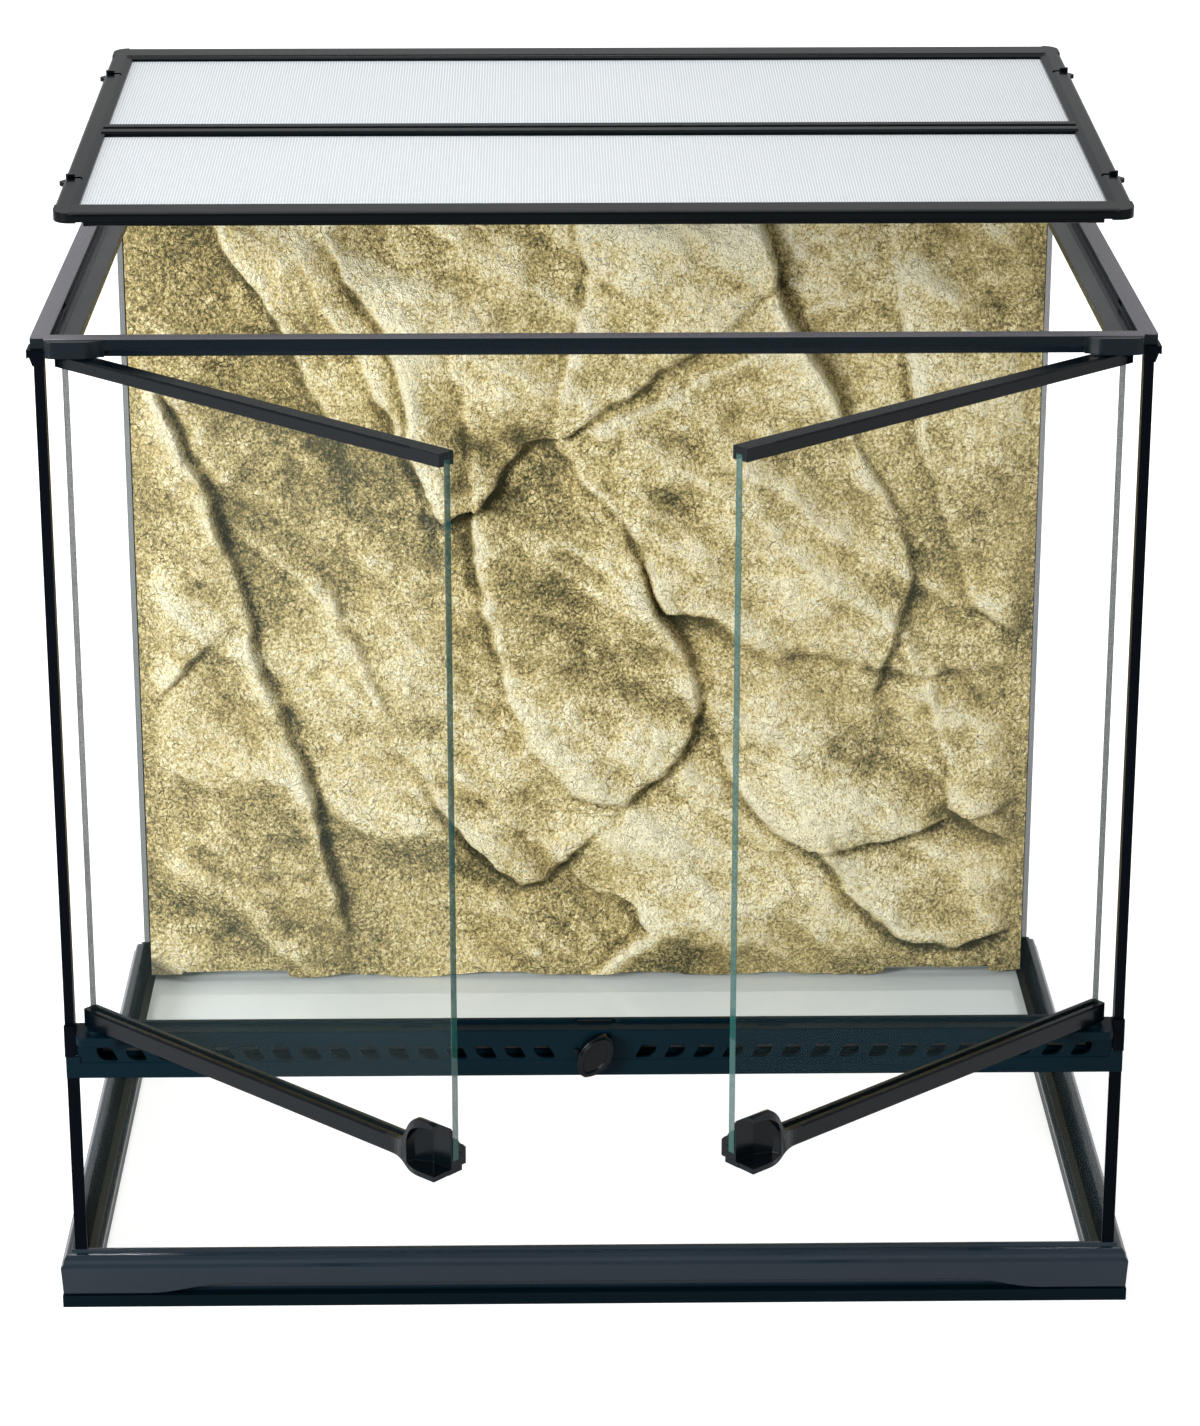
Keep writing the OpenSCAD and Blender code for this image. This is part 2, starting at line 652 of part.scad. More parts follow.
function rock_depth(u, v) = rock_edge
    + rock_relief * max(0, min(1, relief(u, v))) * edge_fade(u) * (0.35 + 0.65 * edge_fade(v));

// The foot's line wanders a little
function rock_foot(u) = 3 + 2.4 * sin(1500 * u) * sin(700 * u + 40);

// Columns of the relief's grid: evenly spread between the edges of the notches
function spread(a, b, n) = [for (i = [0:n]) a + (b - a) * i / n];

notch_in = rock_notch_at - rock_notch_w / 2;
notch_out = rock_notch_at + rock_notch_w / 2;
rock_cols = concat(
    spread(-rock_half, -notch_out, 2), spread(-notch_out + 1, -notch_in - 1, 6),
    spread(-notch_in, notch_in, 32),
    spread(notch_in + 1, notch_out - 1, 6), spread(notch_out, rock_half, 2));
rock_nx = len(rock_cols) - 1;
rock_row = rock_nx + 1;

function column_foot(x) = abs(x) > notch_in && abs(x) < notch_out
    ? floor_top + rock_notch_h : floor_top + max(0, rock_foot(x / (2 * rock_half) + 0.5));

// The lowest outer points draw in, so that they clear the sealant on the floor
function rock_point(i, k, depth) = let (
    x = rock_cols[i],
    low = column_foot(x),
    limit = k == 0 ? inner_w - seam_leg - slide_gap : rock_half
) [max(-limit, min(limit, x)), rock_back - depth, low + (rock_high - low) * k / rock_nz];

rock_points = concat(
    [for (k = [0:rock_nz], i = [0:rock_nx])
        rock_point(i, k, rock_depth(rock_cols[i] / (2 * rock_half) + 0.5, k / rock_nz))],
    [for (k = [0, 1, rock_nz], i = [0:rock_nx]) rock_point(i, k, 0)]);
rock_b = (rock_nz + 1) * rock_row;     // first point of the flat back
rock_m = rock_b + rock_row;            // first point of its second row
rock_u = rock_m + rock_row;            // first point of its top row
rock_t = rock_nz * rock_row;           // first point of the relief's top row

rock_faces = concat(
    [for (k = [0:rock_nz - 1], i = [0:rock_nx - 1], h = [0, 1]) let (a = k * rock_row + i)
        h == 0 ? [a, a + rock_row, a + 1] : [a + 1, a + rock_row, a + rock_row + 1]],
    [for (a = [rock_b, rock_m], i = [0:rock_nx - 1], h = [0, 1])
        h == 0 ? [a + i, a + i + 1, a + i + rock_row]
               : [a + i + 1, a + i + rock_row + 1, a + i + rock_row]],
    [for (i = [0:rock_nx - 1], h = [0, 1]) let (b = rock_b + i)
        h == 0 ? [i, i + 1, b] : [i + 1, b + 1, b]],
    [for (i = [0:rock_nx - 1], h = [0, 1]) let (a = rock_t + i, b = rock_u + i)
        h == 0 ? [a, b, a + 1] : [a + 1, b, b + 1]],
    [concat([rock_u], [for (k = [rock_nz:-1:1]) k * rock_row], [rock_m])],
    [[rock_row, 0, rock_b, rock_m]],
    [concat([rock_u + rock_nx, rock_m + rock_nx], [for (k = [1:rock_nz]) k * rock_row + rock_nx])],
    [[rock_nx, rock_row + rock_nx, rock_m + rock_nx, rock_b + rock_nx]]);

module rock_background() color(stone)
    polyhedron(points = rock_points, faces = rock_faces, convexity = 8);

// ---------------------------------------------------------------- doors
// A door is drawn closed in its own frame: the hinge line at the origin, x along the door to
// its free end, -y out to the front, and z up from the table.

module left_door() translate([-hinge_x, pivot_y, 0]) rotate([0, 0, -left_open]) children();

module right_door() mirror([1, 0, 0]) translate([-hinge_x, pivot_y, 0])
    rotate([0, 0, -right_open]) children();

glass_low = bar_z + bar_bottom_h - glass_grip;
glass_high = door_top - bar_top_h + glass_grip;

module door_glass() color(clear)
    block([-5, 0, glass_low], [door_l, glass_t, glass_high]);

// A bar with a rounded tail round the hinge line
module door_bar(z_low, height) difference() {
    union() {
        block([0, -bar_front, z_low], [door_l, glass_t + bar_back, z_low + height]);
        block([-door_tail, -bar_front + 2, z_low], [0, glass_t + bar_back - 2, z_low + height]);
        for (y = [-bar_front + 2, glass_t + bar_back - 2])
            translate([-door_tail + 2, y, z_low]) cylinder(r = 2, h = height);
        block([-door_tail + 2, -bar_front, z_low], [0, glass_t + bar_back, z_low + height]);
    }
    // long chamfer along the front
    translate([-20, -bar_front, z_low + height]) rotate([45, 0, 0])
        cube([2 * door_l, 1.2, 1.2], center = true);
}

module door_top_bar() color(black) difference() {
    door_bar(door_top - bar_top_h, bar_top_h);
    block([-5, 0, door_top - bar_top_h - 1], [door_l + 1, glass_t, glass_high]);
    translate([0, 0, door_top - top_reach]) cylinder(r = pin_d / 2 + pin_hold, h = 20);
}

// The handle: seen from the front it flares up from the bar, seen from above it swells
// outwards, and seen from the end its roof slopes up to the front
handle_u = door_l - handle_l;

module handle_front_view(lower) polygon(concat(
    [[door_l - 0.3, bar_z - lower], [handle_u - 4, bar_z - lower], [handle_u - 4, bar_z + bar_bottom_h]],
    [for (i = [0:12]) [handle_u + 4 + (handle_l - 14) * i / 12,
        bar_z + bar_bottom_h + (handle_h - bar_bottom_h) * ease(i / 12)]],
    [[door_l - 4, bar_z + handle_h - 0.4], [door_l - 0.3, bar_z + handle_h - 1.6]]));

module handle_plan() polygon(concat(
    [[door_l - 0.3, glass_t + bar_back], [handle_u - 4, glass_t + bar_back], [handle_u - 4, -bar_front]],
    [for (i = [0:12]) [handle_u + (handle_l - 12) * i / 12,
        -bar_front - (handle_out - bar_front) * ease(i / 12)]],
    [[door_l - 0.3, -handle_out]]));

module handle_end_view() polygon([
    [-glass_t - bar_back, bar_z], [handle_out + 1, bar_z],
    [handle_out + 1, bar_z + handle_h], [handle_out - 2, bar_z + handle_h],
    [1, bar_z + handle_h - 7], [-glass_t - bar_back, bar_z + bar_bottom_h + 4],
]);

// The scoop for the fingers, open to the front and to the free end
module handle_scoop() intersection() {
    translate([0, 0, bar_z]) linear_extrude(handle_h + 5) polygon([
        [door_l - 13, -1.4], [door_l + 2, -1.4], [door_l + 2, -handle_out - 3],
        [handle_u + 15, -handle_out - 3], [handle_u + 20, -6]
    ]);
    rotate([90, 0, 0]) linear_extrude(4 * handle_out, center = true) polygon(concat(
        [[door_l + 3, bar_z + 3], [handle_u + 17, bar_z + 3]],
        [for (i = [0:8]) let (a = 180 - 90 * i / 8)
            [door_l - 3 + (handle_l - 21) * cos(a), bar_z + 12 + (handle_h - 15.5) * sin(a)]],
        [[door_l + 3, bar_z + handle_h - 3.5]]));
}

module door_handle_bar() color(black) difference() {
    union() {
        door_bar(bar_z, bar_bottom_h);
        intersection() {
            rotate([90, 0, 0]) linear_extrude(100, center = true) handle_front_view(0);
            translate([0, 0, bar_z - 1]) linear_extrude(100) handle_plan();
            rotate([90, 0, 90]) linear_extrude(2 * door_l) mirror([1, 0]) handle_end_view();
        }
    }
    block([-5, 0, glass_low], [door_l + 1, glass_t, bar_z + 3 * handle_h]);
    handle_scoop();
    translate([0, 0, bar_z - 1]) cylinder(r = pin_d / 2 + pin_hold, h = 1 + pin_reach);
}

// A hooked block behind the door's free corner, with a slot for the lock's bolt
module door_catch() color(black) difference() {
    back = glass_t + bar_back;
    block([door_l - 14, back, bar_z + 1.5], [door_l - 2, back + 5, bar_z + 13]);
    block([door_l - 15, bolt_y - pivot_y - 0.3, bar_z],
          [door_l - 1, bolt_y - pivot_y - 0.3 + catch_grip, bar_z + 6.5]);
    translate([door_l - 8, back + 5, bar_z + 13]) rotate([45, 0, 0])
        cube([20, 3, 3], center = true);
}

module door_pins() color(satin) {
    translate([0, 0, bar_z + pin_reach - 0.1 - (2 * pin_reach - 0.4)])
        cylinder(d = pin_d, h = 2 * pin_reach - 0.4);
    translate([0, 0, door_top - top_reach + 0.1])
        cylinder(d = pin_d, h = top_reach + pin_reach - 0.4);
}

module left_door_glass() left_door() door_glass();
module left_door_top_bar() left_door() door_top_bar();
module left_door_handle_bar() left_door() door_handle_bar();
module left_door_catch() left_door() door_catch();
module left_door_pins() left_door() door_pins();
module right_door_glass() right_door() door_glass();
module right_door_top_bar() right_door() door_top_bar();
module right_door_handle_bar() right_door() door_handle_bar();
module right_door_catch() right_door() door_catch();
module right_door_pins() right_door() door_pins();

// ---------------------------------------------------------------- lid
// The lid is drawn on its seat, and then tipped about its tongue and lifted.

module lifted() translate([0, 0, lid_lift]) children();

module tipped() lifted() translate([0, tongue_y, seat_z]) rotate([lid_tilt, 0, 0])
    translate([0, -tongue_y, -seat_z]) children();

// Round tongue along the lid's front edge, on which the lid tips
module lid_tongue() color(black) lifted() translate([0, tongue_y, seat_z])
    rotate([0, 90, 0]) cylinder(r = tongue_r, h = 2 * tongue_half, center = true);

// Section of a lid bar as (out, up): crowned top, bevelled inner edge
module lid_section(wide) polygon([
    [0, 0.6], [0, lid_t - 1.6], [-0.5, lid_t - 0.7], [-1.5, lid_t - 0.1], [-3, lid_t],
    [-wide + 4, lid_t], [-wide + 3, lid_t - 0.8], [-wide, lid_t - 1.6], [-wide, 0], [-3, 0]
]);

screen_z = seat_z + 1.6;
lid_mid = (lid_front + lid_rear) / 2;
clip_ys = [lid_front + clip_front_at, lid_rear - clip_rear_at];

module lid_frame() color(black) tipped() difference() {
    union() {
        intersection() {
            union() {
                for (s = [0, 1]) mirror([s, 0, 0]) translate([lid_half, lid_mid, seat_z])
                    rotate([0, 0, 90]) along_x(lid_l) lid_section(lid_side_w);
                translate([0, lid_front, seat_z]) along_x(2 * lid_half) lid_section(lid_end_w);
                translate([0, lid_rear, seat_z]) rotate([0, 0, 180])
                    along_x(2 * lid_half) lid_section(lid_end_w);
            }
            translate([0, lid_mid, seat_z - 1]) linear_extrude(lid_t + 2)
                round_rect(2 * lid_half, lid_l, lid_corner);
        }
        // tongues along the rear edge
        for (x = [-205, 0, 205])
            block([x - (x == 0 ? 117 : 9), lid_rear - 5, seat_z + 1],
                  [x + (x == 0 ? 117 : 9), lid_rear + lid_rear_gap - 1, lid_t + seat_z - 2]);
    }
    // groove for the round tongue
    translate([0, tongue_y, seat_z]) rotate([0, 90, 0])
        cylinder(r = tongue_r + bead_gap, h = 2 * tongue_half + 1, center = true);
    // rebate for the screens
    block([-lid_half + lid_side_w - 2, lid_front + lid_end_w - 2, screen_z - slide_gap],
          [lid_half - lid_side_w + 2, lid_rear - lid_end_w + 2, screen_z + screen_t]);
    // seats for the cross bar's ends
    block([-lid_half + lid_side_w - 2, lid_front + cross_at - cross_w / 2 - 0.2, screen_z],
          [lid_half - lid_side_w + 2, lid_front + cross_at + cross_w / 2 + 0.2, lid_t + seat_z + 1]);
    // channels for the clips, open at the side, with a slot above for the thumb rib
    for (s = [-1, 1], y = clip_ys) {
        translate([s * (lid_half - 4), y, seat_z + 2.3])
            cube([12, clip_w + 2 * slide_gap, 2.2 + 2 * slide_gap], center = true);
        translate([s * (lid_half - 4), y, seat_z + lid_t])
            cube([11, 3.4, 6], center = true);
    }
}

// Cross bar with two ribs and a groove between them
module lid_cross_bar() color(black) tipped()
    translate([0, lid_front + cross_at - cross_w / 2, screen_z + screen_t])
        along_x(2 * (lid_half - lid_side_w) + 3.6) polygon([
            [0, 0], [0, 1.6], [-1.5, 2.9], [-cross_w * 0.36, 2.9], [-cross_w * 0.43, 1.5],
            [-cross_w * 0.57, 1.5], [-cross_w * 0.64, 2.9], [-cross_w + 1.5, 2.9],
            [-cross_w, 1.6], [-cross_w, 0]
        ]);

// A screen lies in the frame's rebate and ends under the middle of the cross bar
module lid_screen(y_low, y_high) color(pale) tipped()
    block([-lid_half + lid_side_w - 1.8, y_low, screen_z],
          [lid_half - lid_side_w + 1.8, y_high, screen_z + screen_t]);

module lid_front_screen() lid_screen(lid_front + lid_end_w - 1.8, lid_front + cross_at - 0.2);

module lid_rear_screen() lid_screen(lid_front + cross_at + 0.2, lid_rear - lid_end_w + 1.8);

// A clip: a flat tongue with a pointed nose, and a thumb rib that stands up through the frame
module clip(s, y) color(black) tipped() translate([s * (lid_half + clip_out), y, seat_z + 1.2])
    mirror([s > 0 ? 1 : 0, 0, 0]) {
        linear_extrude(2.2) polygon([
            [0, -1], [3, -clip_w / 2], [clip_l - 1.6, -clip_w / 2], [clip_l, -clip_w / 3],
            [clip_l, clip_w / 3], [clip_l - 1.6, clip_w / 2], [3, clip_w / 2], [0, 1]
        ]);
        translate([clip_l - 4, 0, 0]) linear_extrude(lid_t + 0.8) round_rect(5, 2.4, 1.1);
    }

module clip_front_left() clip(-1, clip_ys[0]);
module clip_front_right() clip(1, clip_ys[0]);
module clip_rear_left() clip(-1, clip_ys[1]);
module clip_rear_right() clip(1, clip_ys[1]);

// ---------------------------------------------------------------- lock

module oval(l, w, t) linear_extrude(t) {
    intersection() {
        r = (l * l / 4 + w * w / 4) / w;
        translate([r - w / 2, 0]) circle(r, $fn = 160);
        translate([w / 2 - r, 0]) circle(r, $fn = 160);
        square([w, l * 0.93], center = true);
    }
}

// Oval knob with a raised rim round a sunk face, on a spindle with a crank pin behind
module lock_knob() color(black) translate([0, strip_face, lock_z]) {
    rotate([0, knob_lean, 0]) rotate([90, 0, 0]) {
        difference() {
            union() {
                translate([0, 0, slide_gap]) oval(knob_l, knob_w, knob_t - 2 - slide_gap);
                translate([0, 0, knob_t - 2.2]) oval(knob_l - 2, knob_w - 2, 2.2);
            }
            translate([0, 0, knob_t - 1.4]) oval(knob_l - 7, knob_w - 6.5, 3);
        }
        translate([0, 0, -strip_wall - 2]) cylinder(d = spindle_d, h = strip_wall + 3);
    }
    // the crank: a cam-shaped plate, and a pin that reaches through the bolt
    rotate([0, lock_turn / 2, 0]) rotate([90, 0, 0]) {
        translate([0, 0, -strip_wall - 3.4]) linear_extrude(2.4) hull() {
            circle(r = 4.4);
            translate([crank_r, 0]) circle(r = 1.9);
        }
        translate([crank_r, 0, strip_face - bolt_y - bolt_t - 0.3])
            cylinder(d = crank_pin, h = bolt_y + bolt_t + 0.3 - strip_face - strip_wall - 2);
    }
}

// Bolt that rises behind the door stop, with a slot for the crank pin
module lock_bolt() color(satin) difference() {
    block([-bolt_w / 2, bolt_y, lock_z - 5], [bolt_w / 2, bolt_y + bolt_t, bolt_low]);
    translate([crank_r * (1 + cos(lock_turn / 2)) / 2, bolt_y, lock_z - bolt_rise / 2])
        cube([crank_pin + 1.6, 10, crank_pin + 0.4], center = true);
}

// Pin beside the knob that stops its turn
module lock_stop_pin() color(black) translate([-10.8, strip_face, lock_z + 1.5])
    rotate([90, 0, 0]) {
        cylinder(d = 2.7, h = 1.6);
        translate([0, 0, -2]) cylinder(d = 1.96, h = 3);
    }

foot_frame();
base_plinth();
floor_glass();
left_glass();
right_glass();
rear_glass();
front_glass();
left_post_trim();
right_post_trim();
left_lower_trim();
right_lower_trim();
floor_seams();
rear_seams();
vent_strip();
vent_screen();
left_strip_cap();
right_strip_cap();
top_rim();
left_corner_cap();
right_corner_cap();
rock_background();
lock_stop_pin();
left_door_glass();
left_door_top_bar();
left_door_handle_bar();
left_door_catch();
left_door_pins();
right_door_glass();
right_door_top_bar();
right_door_handle_bar();
right_door_catch();
right_door_pins();
lid_tongue();
lid_frame();
lid_cross_bar();
lid_front_screen();
lid_rear_screen();
clip_front_left();
clip_front_right();
clip_rear_left();
clip_rear_right();
lock_knob();
lock_bolt();
inlet_cover_1();
inlet_cover_2();
inlet_cover_3();
inlet_cover_4();
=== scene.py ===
# %% [markdown]
# # A front-opening glass terrarium
#
# The tank stands in a black moulded frame. Its rim, doors, lid and lock come from the CAD model,
# which is loaded here as a fixed frame, so nothing has to be fitted by eye. What is left for
# Blender is the finish of each piece and the face of the rock, whose small folds need more faces
# than the CAD solid has.

# %% Load the frame
import math

import bpy
import numpy as np
from mathutils import Euler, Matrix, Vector


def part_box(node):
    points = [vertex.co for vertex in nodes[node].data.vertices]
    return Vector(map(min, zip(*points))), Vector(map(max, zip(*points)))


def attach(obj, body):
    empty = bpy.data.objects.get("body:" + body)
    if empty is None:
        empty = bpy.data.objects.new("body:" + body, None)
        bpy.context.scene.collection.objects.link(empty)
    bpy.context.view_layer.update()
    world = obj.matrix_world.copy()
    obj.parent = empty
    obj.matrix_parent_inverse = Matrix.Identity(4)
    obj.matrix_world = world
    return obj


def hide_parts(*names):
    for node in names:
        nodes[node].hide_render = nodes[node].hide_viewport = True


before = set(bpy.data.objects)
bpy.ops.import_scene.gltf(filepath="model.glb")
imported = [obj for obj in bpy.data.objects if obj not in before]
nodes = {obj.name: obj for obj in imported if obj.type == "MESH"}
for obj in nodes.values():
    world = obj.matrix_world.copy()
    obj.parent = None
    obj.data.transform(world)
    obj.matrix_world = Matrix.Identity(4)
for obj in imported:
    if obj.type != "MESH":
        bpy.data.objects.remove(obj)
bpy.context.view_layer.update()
print("loaded", len(nodes), "nodes")

# %% [markdown]
# ## Sizes that more than one cell needs
#
# Everything is in metres. The origin is the middle of the base's underside: X to the right, Y to
# the back and Z up. The boxes of the panes and the rock are read from the frame. The doors' hinge
# line, reach and angles aren't in a box, so they are repeated here.

# %% Shared sizes
MM = 0.001
hinge_x, hinge_y = 280 * MM, -224 * MM          # the left door's hinge is at -hinge_x
left_open, right_open = math.radians(43), math.radians(41)
door_reach = 278.5 * MM                         # from the hinge line to the pane's free edge
door_tail = 5 * MM                              # and how far the pane goes behind the hinge line
rim_top = 570.5 * MM                            # half a millimetre under the rim's top face
rock_back = 221 * MM                            # the rock's flat back
notch_at, notch_half = 235.5 * MM, 35.5 * MM    # middle and half width of the rock's two notches
print("doors reach", door_reach, "m")

# %% [markdown]
# ## Shader maths as Python
#
# A material in Blender is a graph. Written as node calls, a line such as `1 - mask * 0.3` takes
# ten lines, so one small class wraps a socket and gives it Python's operators. Each operator adds
# one Math node. Every other node comes from `Graph.node`, which takes the node's type, its
# settings and what goes into its sockets, or from `Graph.outputs`, which gives all of its outputs.


# %% Sockets with operators
class Wire:
    """An output socket that adds Math nodes when it is used in a sum."""

    def __init__(self, graph, socket):
        self.graph, self.socket = graph, socket

    def _op(self, operation, a, b=0.0, clamp=False):
        return self.graph.node(
            "ShaderNodeMath", {"operation": operation, "use_clamp": clamp}, {0: a, 1: b}
        )

    def __add__(self, other):
        return self._op("ADD", self, other)

    def __radd__(self, other):
        return self._op("ADD", other, self)

    def __sub__(self, other):
        return self._op("SUBTRACT", self, other)

    def __rsub__(self, other):
        return self._op("SUBTRACT", other, self)

    def __mul__(self, other):
        return self._op("MULTIPLY", self, other)

    def __rmul__(self, other):
        return self._op("MULTIPLY", other, self)

    def __pow__(self, other):
        return self._op("POWER", self, other)

    def __gt__(self, other):
        return self._op("GREATER_THAN", self, other)

    def __lt__(self, other):
        return self._op("LESS_THAN", self, other)

    def __abs__(self):
        return self._op("ABSOLUTE", self)

    def clamped(self):
        return self._op("ADD", self, 0.0, clamp=True)

    def maximum(self, other):
        return self._op("MAXIMUM", self, other)

    def sine(self):
        return self._op("SINE", self)


class Graph:
    """An emptied node tree, and short ways to add nodes to it."""

    def __init__(self, owner):
        owner.use_nodes = True
        self.tree = owner.node_tree
        self.tree.nodes.clear()

    def plug(self, node, values):
        for key, value in values.items():
            if isinstance(value, Wire):
                self.tree.links.new(value.socket, node.inputs[key])
            elif value is not None:
                node.inputs[key].default_value = value

    def node(self, kind, settings=None, inputs=None, out=0):
        node = self.tree.nodes.new(kind)
        for key, value in (settings or {}).items():
            if key == "stops":
                ramp = node.color_ramp
                while len(ramp.elements) < len(value):
                    ramp.elements.new(0.5)
                for element, (place, colour) in zip(ramp.elements, value):
                    element.position, element.color = place, (*colour, 1.0)
            else:
                setattr(node, key, value)
        self.plug(node, inputs or {})
        return Wire(self, node.outputs[out])

    def outputs(self, kind, inputs=None):
        """All outputs of a new node, by name."""
        node = self.tree.nodes.new(kind)
        self.plug(node, inputs or {})
        return {socket.name: Wire(self, socket) for socket in node.outputs}


class Finish(Graph):
    """One material: its node tree, with a Principled shader ready at the end."""

    def __init__(self, name):
        self.material = bpy.data.materials.new(name)
        super().__init__(self.material)
        output = self.tree.nodes.new("ShaderNodeOutputMaterial")
        self.shader = self.tree.nodes.new("ShaderNodeBsdfPrincipled")
        self.tree.links.new(self.shader.outputs[0], output.inputs["Surface"])

    def where(self):
        """Object coordinates, in metres."""
        return self.node("ShaderNodeTexCoord", out="Object")

    def axes(self):
        """The three parts of the object coordinates."""
        split = self.outputs("ShaderNodeSeparateXYZ", {0: self.where()})
        return [split[axis] for axis in "XYZ"]

    def noise(self, scale, detail=3.0, rough=0.55):
        return self.node(
            "ShaderNodeTexNoise", None,
            {"Vector": self.where(), "Scale": scale, "Detail": detail, "Roughness": rough},
        )

    def shifted(self, amount, scale):
        """Object coordinates, each moved by up to half of `amount` by a noise."""
        noise = self.node("ShaderNodeTexNoise", None, {"Vector": self.where(), "Scale": scale},
                          out="Color")
        return self.node("ShaderNodeVectorMath", {"operation": "MULTIPLY_ADD"},
                         {0: noise, 1: (amount, amount, amount), 2: self.where()})

    def blend(self, factor, first, second):
        """A colour between two others, each a triple or a Wire."""
        return self.node(
            "ShaderNodeMix", {"data_type": "RGBA"},
            {0: factor,
             6: first if isinstance(first, Wire) else (*first, 1.0),
             7: second if isinstance(second, Wire) else (*second, 1.0)},
            out=2,
        )

    def bump(self, height, depth, strength=1.0, normal=None):
        return self.node(
            "ShaderNodeBump", None,
            {"Height": height, "Distance": depth, "Strength": strength, "Normal": normal},
        )

    def rounded(self, radius):
        """A normal that rounds the edges of sharp CAD solids, as a mould's radius does."""
        return self.node("ShaderNodeBevel", {"samples": 4}, {"Radius": radius})

    def finish(self, **values):
        names = {
            "colour": "Base Color", "rough": "Roughness", "metal": "Metallic", "alpha": "Alpha",
            "normal": "Normal", "ior": "IOR", "specular": "Specular IOR Level",
            "glow": "Emission Color", "glow_strength": "Emission Strength",
        }
        for key, value in values.items():
            if key in ("colour", "glow") and not isinstance(value, Wire):
                value = (*value, 1.0)
            self.plug(self.shader, {names[key]: value})
        return self.material


def dress(names, material):
    """Gives a material to every slot of the named CAD nodes."""
    for name in names:
        slots = nodes[name].data.materials
        slots.clear()
        slots.append(material)
    print(material.name, "on", len(names), "nodes")


# %% [markdown]
# ## The black plastic
#
# The frame is moulded in black plastic with a satin face. Three things keep it from being a
# flat black: a fine moulded grain in the bump, a slow drift in the roughness where the mould is
# more polished, and edges with a small radius that catch the light. The colour leans to blue.


# %% Black plastics
def black_plastic(name, deep, light, rough, grain, edge, specular=0.12, sheen_above=None):
    """Satin plastic: colour and roughness drift with a slow noise, and a fine noise is the grain.
    Above the given height the face is paler: a painted sheen where the top faces catch the light."""
    f = Finish(name)
    drift = f.noise(9.0, 2.0)
    speck = f.noise(1600.0, 2.0, 0.7)
    colour = f.blend(drift, deep, light)
    # the paler lilac grey above the given height is painted sheen on the top faces
    if sheen_above is not None:
        x, y, z = f.axes()
        painted_sheen = f.blend(drift, (0.075, 0.072, 0.086), (0.115, 0.112, 0.130))
        colour = f.blend(z > sheen_above, colour, painted_sheen)
    return f.finish(
        colour=colour,
        rough=(rough + (drift - 0.5) * 0.14 + (speck - 0.5) * 0.10).clamped(),
        normal=f.bump(speck, grain, 0.5, f.rounded(edge)),
        specular=specular,
    )


dress(["left_post_trim", "right_post_trim", "left_lower_trim", "right_lower_trim",
       "left_corner_cap", "right_corner_cap", "left_strip_cap", "right_strip_cap"],
      black_plastic("post_plastic", (0.0003, 0.0008, 0.0022), (0.0006, 0.0016, 0.0034),
                    0.32, 0.00004, 0.0005, 0.03))
dress(["foot_frame"],
      black_plastic("foot_plastic", (0.0003, 0.0032, 0.0052), (0.0006, 0.0048, 0.0075),
                    0.34, 0.00005, 0.0006, 0.05))
dress(["base_plinth"],
      black_plastic("plinth_plastic", (0.0030, 0.0085, 0.0140), (0.0048, 0.0125, 0.0205),
                    0.14, 0.00002, 0.0009, 0.36))
dress(["vent_strip"],
      black_plastic("strip_plastic", (0.0007, 0.0060, 0.0098), (0.0013, 0.0090, 0.0145),
                    0.30, 0.00004, 0.0006, 0.05))
dress(["top_rim", "inlet_cover_1", "inlet_cover_2", "inlet_cover_3", "inlet_cover_4"],
      black_plastic("rim_plastic", (0.0014, 0.0040, 0.0062), (0.0026, 0.0066, 0.0098),
                    0.28, 0.00004, 0.0008, 0.12, rim_top))
dress([f"{side}_door_{piece}" for side in ("left", "right")
       for piece in ("top_bar", "handle_bar", "catch")],
      black_plastic("door_bar_plastic", (0.0004, 0.0015, 0.0026), (0.0008, 0.0030, 0.0048),
                    0.22, 0.00002, 0.0007, 0.16))
dress(["lid_frame", "lid_cross_bar", "lid_tongue", "clip_front_left", "clip_front_right",
       "clip_rear_left", "clip_rear_right"],
      black_plastic("lid_plastic", (0.0002, 0.0009, 0.0015), (0.0005, 0.0020, 0.0030),
                    0.20, 0.00002, 0.0007, 0.07))
dress(["lock_knob"],
      black_plastic("knob_plastic", (0.0003, 0.0012, 0.0018), (0.0006, 0.0018, 0.0028),
                    0.14, 0.00001, 0.0010, 0.16))
dress(["lock_bolt", "lock_stop_pin", "left_door_pins", "right_door_pins"],
      black_plastic("pin_plastic", (0.0010, 0.0020, 0.0030), (0.0020, 0.0040, 0.0060),
                    0.40, 0.00002, 0.0003))
dress(["floor_seams", "rear_seams"],
      black_plastic("silicone_sealant", (0.0010, 0.0015, 0.0020), (0.0020, 0.0030, 0.0035),
                    0.34, 0.00010, 0.0008, 0.08))

# %% [markdown]
# ## Glass
#
# Float glass is clear across its faces, but green along its cut edges, where the light runs the
# length of the pane. A pane here is one thin box, so its edges are found from the object
# coordinates: a point is on an edge where it lies within a third of a millimetre of the pane's
# outline. Faces get a low alpha, so what is behind them stays crisp, and edges are nearly solid.


# %% Panes
edge_t = 0.35 * MM         # how near its outline a point of a pane counts as on the edge


